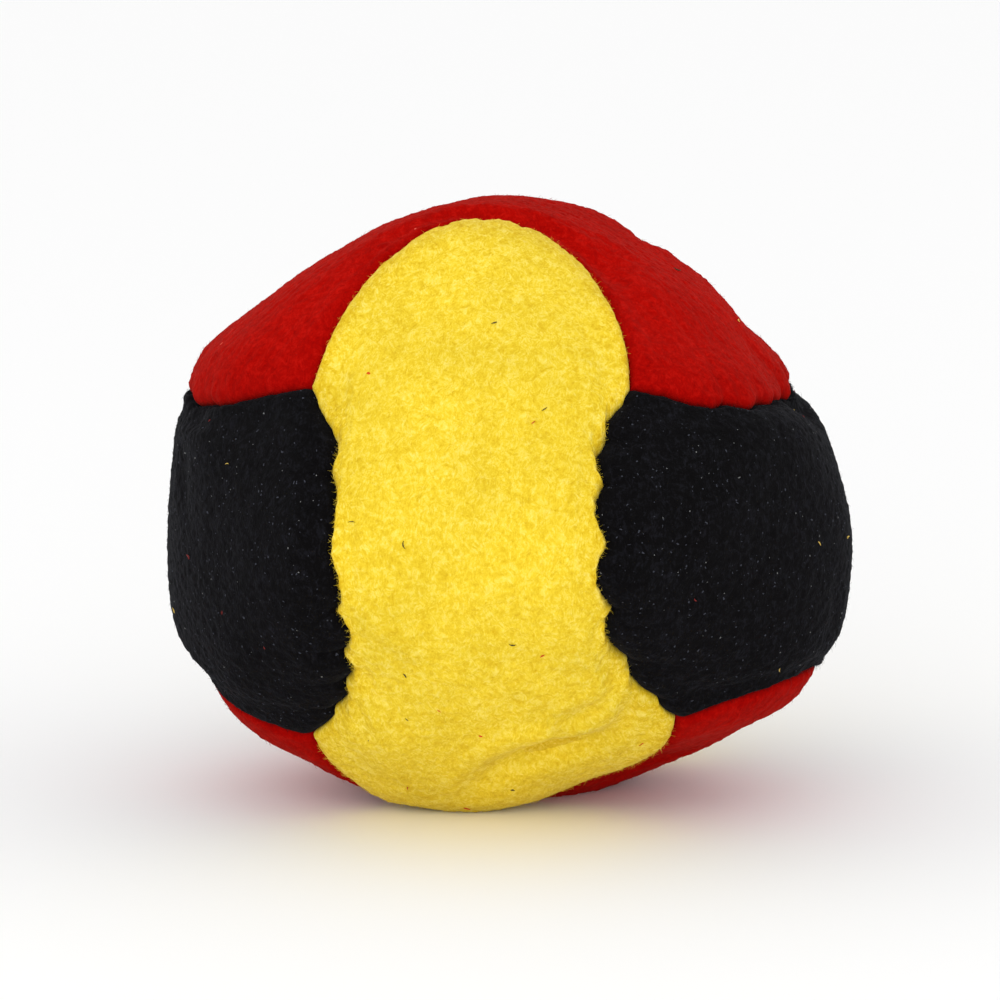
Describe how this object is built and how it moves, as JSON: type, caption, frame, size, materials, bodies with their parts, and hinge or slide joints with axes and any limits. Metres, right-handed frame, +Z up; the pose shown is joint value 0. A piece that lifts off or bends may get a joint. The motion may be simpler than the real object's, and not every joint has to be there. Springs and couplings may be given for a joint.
{
  "type": "juggling ball",
  "caption": "Soft beanbag juggling ball: dog-bone suede panels in three colours sewn edge to edge round a fill of loose pellets, with a lightly flattened resting patch.",
  "frame": {"origin": "middle of the flat patch on the underside that the ball rests on", "axes": "+Z up; +X to the right as the front panel is seen, across the ball's width; -Y out of the front panel"},
  "size_m": [0.0665, 0.0617, 0.0583],
  "materials": {
    "suede_yellow": "short brushed suede nap",
    "suede_black": "short brushed suede nap",
    "suede_red": "short brushed suede nap",
    "thread": "twisted polyester sewing thread",
    "pellets": "small moulded beads"
  },
  "bodies": {
    "root": {"front_panel": "suede_yellow", "back_panel": "suede_yellow", "left_panel": "suede_black", "right_panel": "suede_black", "top_panel": "suede_red", "bottom_panel": "suede_red", "seam_thread_bottom_front": "thread", "seam_thread_front_top": "thread", "seam_thread_back_bottom": "thread", "seam_thread_back_top": "thread", "seam_thread_bottom_left": "thread", "seam_thread_bottom_right": "thread", "seam_thread_left_top": "thread", "seam_thread_right_top": "thread", "seam_thread_front_left": "thread", "seam_thread_back_left": "thread", "seam_thread_front_right": "thread", "seam_thread_back_right": "thread", "pellet_fill": "pellets"}
  },
  "joints": []
}
